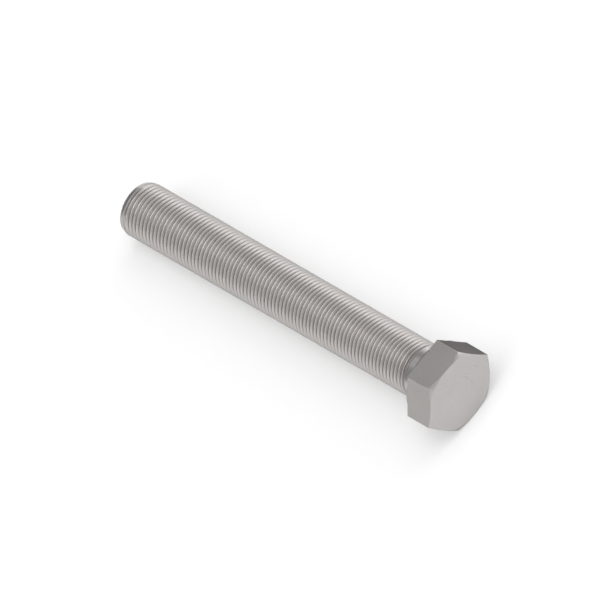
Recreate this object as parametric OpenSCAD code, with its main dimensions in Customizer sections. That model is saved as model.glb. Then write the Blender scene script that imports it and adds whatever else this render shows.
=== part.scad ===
// Hexagon head bolt with a fine thread along its whole shank, lying on one flat of its head.
// The bolt's axis runs along +X, from the head to the point, and the origin is the centre
// of the bearing face, which is the ring of the head that presses on the work.

/* [Head] */
// Width across the flats of the hexagon
across_flats = 17; // [14:0.5:24]
// Height of the head, with its washer face
head_h = 7.1; // [4:0.1:12]
// Diameter of the flat on top, where the corners start to fall away
top_flat_d = 16.8; // [12.5:0.1:16.9]
// Angle of the turned corners against the top of the head
corner_angle = 28; // [15:1:40]
// Diameter of the washer face under the hexagon
washer_face_d = 16.9; // [13.8:0.1:16.9]
// Height of the washer face
washer_face_h = 0.4; // [0.2:0.1:0.8]

/* [Shank] */
// Length from the bearing face to the point
shank_l = 85; // [20:1:160]
// Length of the plain neck between the head and the thread
neck_l = 3.2; // [1:0.1:5]
// Diameter of the neck, which is the blank that the thread is rolled on
neck_d = 11.35; // [10.8:0.05:11.9]
// Radius of the fillet between the neck and the bearing face
fillet_r = 0.6; // [0.3:0.05:1]
// Length of the taper at the point
point_l = 1.1; // [0.3:0.1:2]
// Diameter of the face at the point
point_d = 11.2; // [10.5:0.1:11.8]

/* [Thread] */
// Diameter over the crests
thread_d = 12; // [11.95:0.05:13]
// Distance from one crest to the next
pitch = 1; // [0.75:0.05:1.25]
// Angle between the two flanks of a groove
flank_angle = 60; // [55:1:70]
// Angle of the run-out, where the thread rises from the neck
runout_angle = 30; // [20:1:45]

/* [Hidden] */
$fn = 96;

// Half widths, on which the outlines below are drawn
head_r = across_flats / 2;
corner_r = head_r / cos(30);
crest_r = thread_d / 2;
neck_r = neck_d / 2;

// Each crest is left flat over an eighth of the pitch, and the groove between two crests
// is as deep as a rolled thread's, which is 17/24 of the height of the sharp triangle
sharp_h = pitch / 2 / tan(flank_angle / 2);
thread_depth = sharp_h * 17 / 24;
root_r = crest_r - thread_depth;
groove_w = pitch * 7 / 8;
root_w = groove_w - 2 * thread_depth * tan(flank_angle / 2);

// The full thread runs from the end of the run-out to the start of the point's taper
runout_l = (crest_r - neck_r) / tan(runout_angle);
thread_start = neck_l + runout_l;
thread_end = shank_l - point_l;
groove_count = floor((thread_end - thread_start - pitch / 8) / pitch);
first_groove = thread_end - pitch / 8 - groove_w / 2 - (groove_count - 1) * pitch;

// How far the shank reaches into the head, so that the two are one solid
root_in_head = head_h / 2;

// Outline of one groove, from its head side to its point side, at height x on the shank
function groove(x) = [
    [crest_r, x - groove_w / 2],
    [root_r, x - root_w / 2],
    [root_r, x + root_w / 2],
    [crest_r, x + groove_w / 2]
];

// Half section of the shank, with the bolt's axis upright
module shank_section() {
    polygon(concat(
        [[0, -root_in_head], [neck_r, -root_in_head], [neck_r, neck_l], [crest_r, thread_start]],
        [for (i = [0 : groove_count - 1]) each groove(first_groove + i * pitch)],
        [[crest_r, thread_end], [point_d / 2, shank_l], [0, shank_l]]
    ));
}

// The shank is turned in one piece: neck, run-out, thread and point. The thread is drawn
// as grooves of its true pitch, angle and depth, side by side.
module shank() {
    rotate_extrude() shank_section();
}

// The concave fillet that joins the neck to the bearing face
module neck_fillet() {
    rotate_extrude() difference() {
        translate([neck_r - fillet_r, -fillet_r]) square(2 * fillet_r);
        translate([neck_r + fillet_r, fillet_r]) circle(r = fillet_r);
    }
}

// The bar that the head is turned from falls away from the top flat towards the corners
module turned_blank() {
    corner_drop = (corner_r - top_flat_d / 2) * tan(corner_angle);
    rotate_extrude() polygon([
        [0, -head_h],
        [top_flat_d / 2, -head_h],
        [corner_r + 1, -head_h + corner_drop + tan(corner_angle)],
        [corner_r + 1, -washer_face_h],
        [0, -washer_face_h]
    ]);
}

// The hexagon with its turned corners, two flats facing up and down, and its washer face
module head() {
    intersection() {
        translate([0, 0, -head_h]) cylinder(r = corner_r, h = head_h, $fn = 6);
        turned_blank();
    }
    translate([0, 0, -head_h / 2]) cylinder(d = washer_face_d, h = head_h / 2);
}

// The whole bolt, one forged and rolled piece of steel
module bolt() {
    color("silver") rotate([0, 90, 0]) rotate([0, 0, 30]) {
        head();
        neck_fillet();
        shank();
    }
}

bolt();
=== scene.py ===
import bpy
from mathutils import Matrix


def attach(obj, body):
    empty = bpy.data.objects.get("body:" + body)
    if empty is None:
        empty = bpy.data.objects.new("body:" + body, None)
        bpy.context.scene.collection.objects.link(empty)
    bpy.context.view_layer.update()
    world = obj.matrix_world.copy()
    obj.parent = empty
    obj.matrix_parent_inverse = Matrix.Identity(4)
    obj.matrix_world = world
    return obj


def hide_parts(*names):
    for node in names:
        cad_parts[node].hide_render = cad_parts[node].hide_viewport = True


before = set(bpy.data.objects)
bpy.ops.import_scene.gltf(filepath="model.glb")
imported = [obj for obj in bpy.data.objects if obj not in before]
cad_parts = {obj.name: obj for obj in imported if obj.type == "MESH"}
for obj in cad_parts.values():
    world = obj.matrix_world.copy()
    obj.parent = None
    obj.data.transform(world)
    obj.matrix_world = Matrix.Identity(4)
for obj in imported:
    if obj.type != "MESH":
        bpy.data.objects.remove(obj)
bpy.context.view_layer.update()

import math
import bpy
from mathutils import Matrix, Vector

mm = 0.001

# points that lie closer than this are one: in a spun shape, in the helix, in the whole bolt
mergeWithin = dict(spun=0.0001 * mm, helix=0.001 * mm, whole=0.0002 * mm)


# small helpers

def hexToLinear(code):
    channels = [int(code[i:i + 2], 16) / 255 for i in (1, 3, 5)]
    linear = [c / 12.92 if c <= 0.04045 else ((c + 0.055) / 1.055) ** 2.4 for c in channels]
    return (*linear, 1.0)


def addNode(tree, kind, inputs=None, **settings):
    node = tree.nodes.new(kind)
    for name, value in settings.items():
        setattr(node, name, value)
    for name, value in (inputs or {}).items():
        if isinstance(value, bpy.types.NodeSocket):
            tree.links.new(value, node.inputs[name])
        else:
            node.inputs[name].default_value = value
    return node


def pickOnly(obj):
    bpy.ops.object.select_all(action="DESELECT")
    obj.select_set(True)
    bpy.context.view_layer.objects.active = obj


def applyModifier(obj, kind, **settings):
    pickOnly(obj)
    modifier = obj.modifiers.new(kind.title(), kind)
    for name, value in settings.items():
        setattr(modifier, name, value)
    bpy.ops.object.modifier_apply(modifier=modifier.name)


def joinSolids(base, tool, operation):
    applyModifier(base, "BOOLEAN", object=tool, operation=operation, solver="MANIFOLD")
    bpy.data.objects.remove(tool)


def arcPoints(middle, radius, start, end, steps):
    # points on an arc round the middle, from one angle to the other in degrees
    angles = [math.radians(start + (end - start) * i / steps) for i in range(steps + 1)]
    return [(middle[0] + radius * math.cos(a), middle[1] + radius * math.sin(a)) for a in angles]


def outlineObject(name, outline):
    # an open line of (x, radius) points above the bolt's axis
    points = [(x, 0, r) for x, r in outline]
    mesh = bpy.data.meshes.new(name)
    mesh.from_pydata(points, [(i, i + 1) for i in range(len(points) - 1)], [])
    obj = bpy.data.objects.new(name, mesh)
    bpy.context.collection.objects.link(obj)
    return obj


def turned(name, outline, sides=192):
    # a half outline, spun round the bolt's axis
    obj = outlineObject(name, outline)
    applyModifier(obj, "SCREW", axis="X", angle=2 * math.pi, steps=sides, render_steps=sides,
                  use_merge_vertices=True, merge_threshold=mergeWithin["spun"])
    bpy.ops.object.mode_set(mode="EDIT")
    bpy.ops.mesh.select_all(action="SELECT")
    bpy.ops.mesh.remove_doubles(threshold=mergeWithin["spun"])
    bpy.ops.mesh.normals_make_consistent(inside=False)
    bpy.ops.object.mode_set(mode="OBJECT")
    return obj


# the bolt, measured along its own axis, which is +X, from the bearing face
boltSize = dict(
    acrossFlats=17 * mm,
    headHeight=7.1 * mm,
    topFlat=16.8 * mm,
    cornerAngle=math.radians(28),
    washerFace=16.9 * mm,
    washerHeight=0.4 * mm,
    edgeRound=0.05 * mm,   # forged and tumbled, so no edge of the head is sharp
    rimRound=0.08 * mm,    # the same, where the lathe's cuts meet the flats
    neckDiameter=11.35 * mm,
    neckLength=3.2 * mm,
    fillet=0.6 * mm,
    length=85 * mm,
    pointLength=1.1 * mm,
    pointDiameter=11.2 * mm,
    crestDiameter=12 * mm,
    pitch=1 * mm,
    runOutAngle=math.radians(30),
    plainPoint=1.6 * mm,   # the thread fades out over this much of the point
)

# the thread's outline, in pitches, and how finely it is drawn
threadShape = dict(
    flankAngle=30,         # degrees from square to the axis, so 60 between two flanks
    grooveHalf=7 / 16,     # half a groove, which leaves an eighth of a pitch for the crest
    rootRound=0.1443,      # the dies round the root
    crestRound=0.02,
    rootSteps=6,
    stepsPerTurn=64,
    startBefore=1.5,       # the helix starts this far before the end of the neck
    firstCut=1.2,          # and is cut flat this far on, where its turns are whole
    spareTurns=3,
)

# how the groove ends at the neck and at the point. The cone and the start of the cap are
# given in pitches, along the bolt and in depth below the crests
grooveEnds = dict(
    coneFrom=0.3, coneTo=1.8, coneDepth=0.64,   # the neck narrows under the first groove
    capBefore=0.5, capDepth=0.7,                # the plain point widens under the last groove
    capUnder=0.12 * mm,    # comes up to this far below the crests
    pointUnder=0.02 * mm,  # and ends this far below the cut that tapers the thread
    neckUnder=0.05 * mm,   # the ridge rises from this far below the neck's surface
    pastCrest=0.2 * mm,    # the cut at both ends reaches this far past the crests
    filletSteps=6,
)


def threadOutline(size, shape):
    # one pitch of the thread, from the near edge of a crest to the near edge of the next
    pitch = size["pitch"]
    crest = size["crestDiameter"] / 2
    lean = shape["flankAngle"]
    flank = math.radians(lean)
    grooveHalf = pitch * shape["grooveHalf"]
    rootRound = pitch * shape["rootRound"]
    crestRound = pitch * shape["crestRound"]
    rootMiddle = crest - grooveHalf / math.tan(flank) + rootRound / math.sin(flank)
    nearEdge = [
        (-grooveHalf - crestRound, crest),
        (-grooveHalf + crestRound * math.sin(flank), crest - crestRound * math.cos(flank))]
    root = arcPoints((0, rootMiddle), rootRound, 180 + lean, 360 - lean, shape["rootSteps"])
    farEdge = [(-x, r) for x, r in reversed(nearEdge)]
    return nearEdge + root + farEdge + [(nearEdge[0][0] + pitch, crest)]


def threadedRod(size, shape):
    # the outline follows a right-hand helix, and two cuts leave flat, closed ends
    pitch = size["pitch"]
    start = size["neckLength"] - shape["startBefore"] * pitch
    turns = math.ceil((size["length"] - start) / pitch) + shape["spareTurns"]
    steps = shape["stepsPerTurn"]
    outline = [(start + x, r) for x, r in threadOutline(size, shape)]
    rod = outlineObject("threadedRod", outline)
    applyModifier(rod, "SCREW", axis="X", angle=2 * math.pi, screw_offset=pitch,
                  iterations=turns, steps=steps, render_steps=steps)
    bpy.ops.object.mode_set(mode="EDIT")
    bpy.ops.mesh.select_all(action="SELECT")
    bpy.ops.mesh.remove_doubles(threshold=mergeWithin["helix"])
    for cutAt, side in ((start + shape["firstCut"] * pitch, -1), (size["length"], 1)):
        bpy.ops.mesh.select_all(action="SELECT")
        bpy.ops.mesh.bisect(plane_co=(cutAt, 0, 0), plane_no=(side, 0, 0), use_fill=True,
                            clear_outer=True, threshold=mergeWithin["spun"])
    bpy.ops.mesh.select_all(action="SELECT")
    bpy.ops.mesh.normals_make_consistent(inside=False)
    bpy.ops.object.mode_set(mode="OBJECT")
    return rod


def makeShank(size, shape, ends):
    crest = size["crestDiameter"] / 2
    neck = size["neckDiameter"] / 2
    point = size["pointDiameter"] / 2
    length = size["length"]
    pitch = size["pitch"]
    rod = threadedRod(size, shape)
    # the ridge rises out of the neck and is tapered off again at the point
    runOut = (crest - neck) / math.tan(size["runOutAngle"])
    overCrest = crest + ends["pastCrest"]
    pointSlope = (crest - point) / size["pointLength"]
    pointFrom = length - size["pointLength"] - ends["pastCrest"] / pointSlope
    underNeck = neck - ends["neckUnder"]
    envelope = turned("threadEnvelope", [
        (0, 0), (0, underNeck), (size["neckLength"], underNeck),
        (size["neckLength"] + runOut * overCrest / crest, overCrest),
        (pointFrom, overCrest), (length, point), (length, 0)])
    joinSolids(rod, envelope, "INTERSECT")
    # the neck, its fillet under the head, and the first groove running out into it
    fillet = size["fillet"]
    inHead = size["headHeight"] / 2
    coneFrom = size["neckLength"] + ends["coneFrom"] * pitch
    coneTo = size["neckLength"] + ends["coneTo"] * pitch
    filletArc = arcPoints((fillet, neck + fillet), fillet, 180, 270, ends["filletSteps"])
    core = turned("neckCore", [
        (-inHead, 0), (-inHead, neck + fillet), *filletArc,
        (coneFrom, neck), (coneTo, crest - ends["coneDepth"] * pitch), (coneTo, 0)])
    joinSolids(rod, core, "UNION")
    # the turned taper of the point, in which the last groove runs out
    plainFrom = length - size["plainPoint"]
    capFrom = plainFrom - ends["capBefore"] * pitch
    cap = turned("pointCap", [
        (capFrom, 0), (capFrom, crest - ends["capDepth"] * pitch),
        (plainFrom, crest - ends["capUnder"]), (length, point - ends["pointUnder"]), (length, 0)])
    joinSolids(rod, cap, "UNION")
    return rod


# how finely the head's edges are rounded, from which angle on, and how far its solids reach
# past each other
headShape = dict(edgeSteps=3, rimSteps=2, washerSteps=3, roundedFrom=math.radians(18),
                 past=1 * mm)


def makeHead(size, shape):
    corner = size["acrossFlats"] / 2 / math.cos(math.radians(30))
    height = size["headHeight"]
    washer = size["washerHeight"]
    past = shape["past"]
    bpy.ops.object.select_all(action="DESELECT")
    bpy.ops.mesh.primitive_cylinder_add(vertices=6, radius=corner, depth=height + 2 * past,
                                        location=(-height / 2, 0, 0),
                                        rotation=(0, math.pi / 2, 0))
    head = bpy.context.object
    head.name = "hexHead"
    bpy.ops.object.transform_apply(location=True, rotation=True, scale=True)
    # the six long edges are rounded first
    bpy.ops.object.mode_set(mode="EDIT")
    bpy.ops.mesh.select_mode(type="EDGE")
    bpy.ops.mesh.select_all(action="DESELECT")
    bpy.ops.object.mode_set(mode="OBJECT")
    for edge in head.data.edges:
        a, b = (head.data.vertices[i].co for i in edge.vertices)
        edge.select = abs(a.x - b.x) > height
    bpy.ops.object.mode_set(mode="EDIT")
    bpy.ops.mesh.bevel(offset=size["edgeRound"], segments=shape["edgeSteps"])
    bpy.ops.object.mode_set(mode="OBJECT")
    # the lathe turns the corners down from the top flat and leaves the washer face below
    over = corner + past
    topFlat = size["topFlat"] / 2
    drop = (over - topFlat) * math.tan(size["cornerAngle"])
    blank = turned("turnedBlank", [(-height, 0), (-height, topFlat), (-height + drop, over),
                                   (-washer, over), (-washer, 0)])
    joinSolids(head, blank, "INTERSECT")
    rim = size["rimRound"]
    applyModifier(head, "BEVEL", width=rim, segments=shape["rimSteps"], limit_method="ANGLE",
                  angle_limit=shape["roundedFrom"])
    # the washer face has its own rounded rim
    face = size["washerFace"] / 2
    inHex = -washer - past
    rimArc = arcPoints((-rim, face - rim), rim, 90, 0, shape["washerSteps"])
    washerFace = turned("washerFace", [(inHex, 0), (inHex, face), *rimArc, (0, 0)])
    joinSolids(head, washerFace, "UNION")
    return head


# smooth where it was rounded or turned, and crisp where two cuts meet at more than this
boltShading = dict(smoothBelow=math.radians(32), faceWeight=100)


def makeBolt():
    bolt = makeHead(boltSize, headShape)
    joinSolids(bolt, makeShank(boltSize, threadShape, grooveEnds), "UNION")
    bolt.name = "hexBolt"
    pickOnly(bolt)
    bpy.ops.object.mode_set(mode="EDIT")
    bpy.ops.mesh.select_all(action="SELECT")
    bpy.ops.mesh.remove_doubles(threshold=mergeWithin["whole"])
    bpy.ops.object.mode_set(mode="OBJECT")
    bpy.ops.object.shade_smooth_by_angle(angle=boltShading["smoothBelow"])
    applyModifier(bolt, "WEIGHTED_NORMAL", mode="FACE_AREA", keep_sharp=True,
                  weight=boltShading["faceWeight"])
    return bolt


bolt = makeBolt()
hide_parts("bolt")
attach(bolt, "root")
print("bolt made:", len(bolt.data.polygons), "faces")


# Bright steel with no coating, lightly oiled, so softly glossy all over. Each tool left its
# own marks on the same metal, and handling left a slow mottle. Marks and mottle add up to
# about 1, and mostly lie between lowMark and highMark
steelLook = dict(roughnessSpread=0.03, mottle=7 * mm, lowMark=0.6, highMark=1.4)

# turned on a lathe: fine rings round the axis. The real feed is about 0.15 mm a turn, drawn
# wider so that it shows
turnedLook = dict(colour="#bcb9b8", shade="#b5b2b1", edgeTint=0.85, roughness=0.30,
                  feed=0.40 * mm, markDepth=0.0004 * mm)
# drawn through a die: fine lines along the bolt, and a darker colour that is partly a duller
# finish and partly painted shade on the flats. Real lines are about 0.05 mm wide, drawn wider
# so that they show
drawnLook = dict(colour="#b1aeac", shade="#aaa7a5", edgeTint=0.18, roughness=0.30,
                 lineWidth=0.30 * mm, lineLength=6 * mm, markDepth=0.0005 * mm)
# rolled between dies. Painted shade: the metal is painted darker towards the groove's root,
# where the groove's own shade falls. The depths are below the crests
rolledLook = dict(colour="#c6c2c0", shade="#bfbbb9", edgeTint=0.18, roughness=0.37,
                  rootShadeColour="#9f9b98", unshadedDepth=0.26 * mm, fullShadeDepth=0.44 * mm,
                  lineWidth=0.12 * mm, linesDownFlank=3.0, markDepth=0.0004 * mm)


def makeSteel(name, finish):
    # the metal without its marks
    material = bpy.data.materials.new(name)
    material.use_nodes = True
    tree = material.node_tree
    shader = tree.nodes["Principled BSDF"]
    shader.inputs["Base Color"].default_value = hexToLinear(finish["colour"])
    shader.inputs["Metallic"].default_value = 1
    shader.inputs["Specular Tint"].default_value = (finish["edgeTint"],) * 3 + (1,)
    spot = addNode(tree, "ShaderNodeTexCoord").outputs["Object"]
    return material, tree, shader, spot


def placeOnBolt(tree, spot):
    # how far a spot lies along the bolt's axis, and how far out from it
    along = addNode(tree, "ShaderNodeSeparateXYZ", {0: spot})
    across = addNode(tree, "ShaderNodeVectorMath", {0: spot, 1: (0, 1, 1)}, operation="MULTIPLY")
    radius = addNode(tree, "ShaderNodeVectorMath", {0: across.outputs[0]}, operation="LENGTH")
    return along.outputs["X"], radius.outputs["Value"]


def lineMarks(tree, place, spacing):
    # uneven lines, one for each spacing along the place
    count = addNode(tree, "ShaderNodeMath", {0: place, 1: 1 / spacing}, operation="MULTIPLY")
    noise = addNode(tree, "ShaderNodeTexNoise", {"W": count.outputs[0], "Scale": 1, "Detail": 1},
                    noise_dimensions="1D")
    return noise.outputs["Fac"]


def addMarks(tree, shader, look, finish, spot, marks, rootShade=None):
    # the marks roughen, shade and ridge the metal a little. Sockets 6 and 7 of a Mix node are
    # its two colours, and output 2 is the mixed one
    mottle = addNode(tree, "ShaderNodeTexNoise", {
        "Vector": spot, "Scale": 1 / look["mottle"], "Detail": 2})
    mixed = addNode(tree, "ShaderNodeMath", {0: marks, 1: mottle.outputs["Fac"]}, operation="ADD")
    limits = {"Value": mixed.outputs[0], "From Min": look["lowMark"], "From Max": look["highMark"]}
    rough = addNode(tree, "ShaderNodeMapRange", {
        **limits, "To Min": finish["roughness"] - look["roughnessSpread"],
        "To Max": finish["roughness"] + look["roughnessSpread"]})
    tree.links.new(rough.outputs["Result"], shader.inputs["Roughness"])
    tone = addNode(tree, "ShaderNodeMapRange", limits)
    colour = addNode(tree, "ShaderNodeMix", {
        0: tone.outputs["Result"], 6: hexToLinear(finish["shade"]),
        7: hexToLinear(finish["colour"])}, data_type="RGBA")
    # painted shade: towards the groove's root the colour turns to the darker root colour
    if rootShade:
        colour = addNode(tree, "ShaderNodeMix", {
            0: rootShade, 6: hexToLinear(finish["rootShadeColour"]), 7: colour.outputs[2]},
            data_type="RGBA")
    tree.links.new(colour.outputs[2], shader.inputs["Base Color"])
    bump = addNode(tree, "ShaderNodeBump", {
        "Height": marks, "Strength": 1, "Distance": finish["markDepth"]})
    tree.links.new(bump.outputs["Normal"], shader.inputs["Normal"])


def makeTurnedSteel(look, finish):
    # rings on the top, the corners, the washer face, the neck and the point
    material, tree, shader, spot = makeSteel("turnedSteel", finish)
    x, radius = placeOnBolt(tree, spot)
    path = addNode(tree, "ShaderNodeMath", {0: radius, 1: x}, operation="SUBTRACT")
    marks = lineMarks(tree, path.outputs[0], finish["feed"])
    addMarks(tree, shader, look, finish, spot, marks)
    return material


def makeDrawnSteel(look, finish):
    # fine lines that run along the six flats
    material, tree, shader, spot = makeSteel("drawnSteel", finish)
    thin = 1 / finish["lineWidth"]
    stretched = addNode(tree, "ShaderNodeMapping", {
        "Vector": spot, "Scale": (1 / finish["lineLength"], thin, thin)})
    marks = addNode(tree, "ShaderNodeTexNoise", {
        "Vector": stretched.outputs[0], "Scale": 1, "Detail": 2})
    addMarks(tree, shader, look, finish, spot, marks.outputs["Fac"])
    return material


def makeRolledSteel(look, finish, size):
    # marks that follow the groove, and painted shade: darker metal towards its root
    material, tree, shader, spot = makeSteel("rolledSteel", finish)
    x, radius = placeOnBolt(tree, spot)
    down = addNode(tree, "ShaderNodeMath", {0: radius, 1: finish["linesDownFlank"], 2: x},
                   operation="MULTIPLY_ADD")
    marks = lineMarks(tree, down.outputs[0], finish["lineWidth"])
    crest = size["crestDiameter"] / 2
    # how far the painted shade reaches: full at the root, none near the crests
    height = addNode(tree, "ShaderNodeMapRange", {
        "Value": radius, "From Min": crest - finish["fullShadeDepth"],
        "From Max": crest - finish["unshadedDepth"]})
    addMarks(tree, shader, look, finish, spot, marks, height.outputs["Result"])
    return material


def dressBolt(bolt, size):
    # each face takes the finish of the tool that made it
    turnedFace, drawnFace, rolledFace = range(3)
    bolt.data.materials.clear()
    bolt.data.materials.append(makeTurnedSteel(steelLook, turnedLook))
    bolt.data.materials.append(makeDrawnSteel(steelLook, drawnLook))
    bolt.data.materials.append(makeRolledSteel(steelLook, rolledLook, size))
    threadFrom = size["neckLength"]
    threadTo = size["length"] - size["plainPoint"]
    squareToAxis = 0.05   # a flat's normal has no more than this along the axis
    for face in bolt.data.polygons:
        if threadFrom < face.center.x < threadTo:
            face.material_index = rolledFace
        elif face.center.x < 0 and abs(face.normal.x) < squareToAxis:
            face.material_index = drawnFace
        else:
            face.material_index = turnedFace


dressBolt(bolt, boltSize)
print("bolt dressed: turned, drawn and rolled steel")

# the floor is a pale matt sheet that touches the head's lower flat and the crest at the point.
# It glows a little for the eye alone, which makes it white and keeps the bolt's shadow
floorLook = dict(size=1.2, colour="#c8c8c8", roughness=0.9, glowColour="#ffffff", glow=0.28)


def whereSeen(tree):
    # 1 on rays that show the background, straight on or in metal or glass, and 0 on light
    rays = addNode(tree, "ShaderNodeLightPath").outputs
    seen = addNode(tree, "ShaderNodeMath", {0: rays["Is Camera Ray"], 1: rays["Is Glossy Ray"]},
                   operation="ADD")
    seen = addNode(tree, "ShaderNodeMath", {0: seen.outputs[0], 1: rays["Is Transmission Ray"]},
                   operation="ADD", use_clamp=True)
    return seen.outputs[0]


def makeFloor(size, look):
    rise = math.atan2((size["acrossFlats"] - size["crestDiameter"]) / 2,
                      size["length"] - size["pointLength"])
    bpy.ops.object.select_all(action="DESELECT")
    bpy.ops.mesh.primitive_plane_add(size=look["size"], rotation=(0, -rise, 0),
                                     location=(0, 0, -size["acrossFlats"] / 2))
    floor = bpy.context.object
    floor.name = "floor"
    material = bpy.data.materials.new("paleFloor")
    material.use_nodes = True
    tree = material.node_tree
    shader = tree.nodes["Principled BSDF"]
    shader.inputs["Base Color"].default_value = hexToLinear(look["colour"])
    shader.inputs["Roughness"].default_value = look["roughness"]
    shader.inputs["Emission Color"].default_value = hexToLinear(look["glowColour"])
    glow = addNode(tree, "ShaderNodeMath", {0: whereSeen(tree), 1: look["glow"]},
                   operation="MULTIPLY")
    tree.links.new(glow.outputs[0], shader.inputs["Emission Strength"])
    floor.data.materials.append(material)


makeFloor(boltSize, floorLook)

# the picture is a true isometric view: the head points at the viewer, 35 degrees off the page.
# The drawn head stands on a corner, so the camera turns with the bolt onto its flat
viewSize = dict(pixels=600, pixelsPerMm=4.926, bearingFaceAt=(435.2, 377.9), away=(1, -1, 1),
                up=(-1, 1, 2), turnOnFlat=math.radians(-30), distance=0.5)


def makeCamera(view):
    away = Vector(view["away"]).normalized()
    up = Vector(view["up"]).normalized()
    right = up.cross(away)
    toFrame = Matrix.Rotation(math.pi, 3, "Z") @ Matrix.Rotation(view["turnOnFlat"], 3, "X")
    right, up, away = (toFrame @ v for v in (right, up, away))
    middle = (view["pixels"] - 1) / 2
    mmPerPixel = mm / view["pixelsPerMm"]
    x, y = view["bearingFaceAt"]
    target = (right * (middle - x) - up * (middle - y)) * mmPerPixel
    camera = bpy.data.objects.new("camera", bpy.data.cameras.new("camera"))
    bpy.context.collection.objects.link(camera)
    camera.data.type = "ORTHO"
    camera.data.ortho_scale = view["pixels"] * mmPerPixel
    turn = Matrix((right, up, away)).transposed().to_4x4()
    camera.matrix_world = Matrix.Translation(target + away * view["distance"]) @ turn
    bpy.context.scene.camera = camera


makeCamera(viewSize)

# soft studio light from panels a long way off. The strength is how bright a panel is itself,
# with white as 1. Azimuth from +X and height above the horizon are in degrees, sides in metres
lampSet = [
    dict(name="lowStrip", azimuth=270, height=5, width=6.0, tall=0.7, strength=1.75),
    dict(name="midStrip", azimuth=270, height=25, width=6.0, tall=0.7, strength=0.59),
    dict(name="sidePanel", azimuth=270, height=44, width=1.6, tall=1.6, strength=1.70),
    dict(name="headPanel", azimuth=180, height=16, width=1.4, tall=1.2, strength=0.50),
    dict(name="cornerPanel", azimuth=144, height=10, width=1.0, tall=1.0, strength=0.34),
    dict(name="farPanel", azimuth=96, height=10, width=1.0, tall=1.0, strength=2.64),
    dict(name="highPanel", azimuth=90, height=44, width=1.6, tall=1.6, strength=1.67),
    dict(name="topPanel", azimuth=135, height=72, width=1.6, tall=1.6, strength=2.50),
    dict(name="overPanel", azimuth=225, height=72, width=1.6, tall=1.6, strength=0.91),
    dict(name="endPanel", azimuth=45, height=72, width=1.6, tall=1.6, strength=0.60),
    dict(name="nearPanel", azimuth=315, height=72, width=1.6, tall=1.6, strength=0.63),
]
studio = dict(lampDistance=2.2, lampColour="#ffffff", worldColour="#ffffff", worldStrength=0.25,
              groundStrength=1.0)


def makeLights(lamps, room):
    for lamp in lamps:
        data = bpy.data.lights.new(lamp["name"], "AREA")
        data.shape = "RECTANGLE"
        data.size = lamp["width"]
        data.size_y = lamp["tall"]
        data.color = hexToLinear(room["lampColour"])[:3]
        data.energy = lamp["strength"] * math.pi * lamp["width"] * lamp["tall"]
        turn, lift = math.radians(lamp["azimuth"]), math.radians(lamp["height"])
        level = math.cos(lift)
        towards = Vector((math.cos(turn) * level, math.sin(turn) * level, math.sin(lift)))
        obj = bpy.data.objects.new(lamp["name"], data)
        obj.location = towards * room["lampDistance"]
        obj.rotation_euler = (-towards).to_track_quat("-Z", "Y").to_euler()
        bpy.context.collection.objects.link(obj)


def makeRoom(room):
    # under the horizon the room is as white as the floor, for views from so low that they pass
    # the floor's edge or start below it. The floor hides that part from the bolt
    world = bpy.data.worlds.new("studio")
    world.use_nodes = True
    tree = world.node_tree
    direction = addNode(tree, "ShaderNodeTexCoord").outputs["Generated"]
    upward = addNode(tree, "ShaderNodeSeparateXYZ", {0: direction}).outputs["Z"]
    below = addNode(tree, "ShaderNodeMath", {0: upward, 1: 0.0}, operation="LESS_THAN")
    ground = addNode(tree, "ShaderNodeMath", {0: below.outputs[0], 1: whereSeen(tree)},
                     operation="MULTIPLY")
    strength = addNode(tree, "ShaderNodeMapRange", {
        "Value": ground.outputs[0], "To Min": room["worldStrength"],
        "To Max": room["groundStrength"]})
    sky = tree.nodes["Background"]
    sky.inputs["Color"].default_value = hexToLinear(room["worldColour"])
    tree.links.new(strength.outputs["Result"], sky.inputs["Strength"])
    bpy.context.scene.world = world


makeLights(lampSet, studio)
makeRoom(studio)
print("lights made:", len(lampSet), "panels and the room")
bpy.context.scene.view_settings.view_transform = "Standard"
